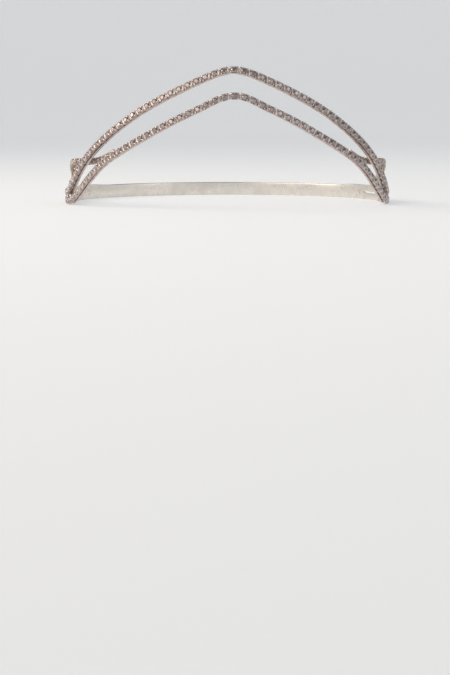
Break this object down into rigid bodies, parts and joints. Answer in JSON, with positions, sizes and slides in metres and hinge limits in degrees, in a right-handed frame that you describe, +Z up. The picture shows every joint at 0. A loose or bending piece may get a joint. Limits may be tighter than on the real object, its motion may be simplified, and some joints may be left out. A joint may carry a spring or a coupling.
{
  "type": "bridal crown",
  "caption": "Open circlet of stone-set strands that rise to two soft peaks over the brow, cross at the temples and join a plain band behind.",
  "frame": {"origin": "middle of the outer box's floor: the crown stands on z = 0 with its lower stone rows and the back band's lower edge", "axes": "+Z up; -Y the front, where the peaks are; +X to the right of a person who faces the front"},
  "size_m": [0.1674, 0.1666, 0.0691],
  "materials": {
    "set_stones": "silver-plated cups holding clear cut stones with a faint rose tint",
    "plain_silver": "smooth silver plate over brass, slightly warm, satin"
  },
  "bodies": {
    "root": {"front_strand": "set_stones", "upper_strand": "set_stones", "crossing_strand_left": "set_stones", "crossing_strand_right": "set_stones", "back_band": "plain_silver"}
  },
  "joints": []
}
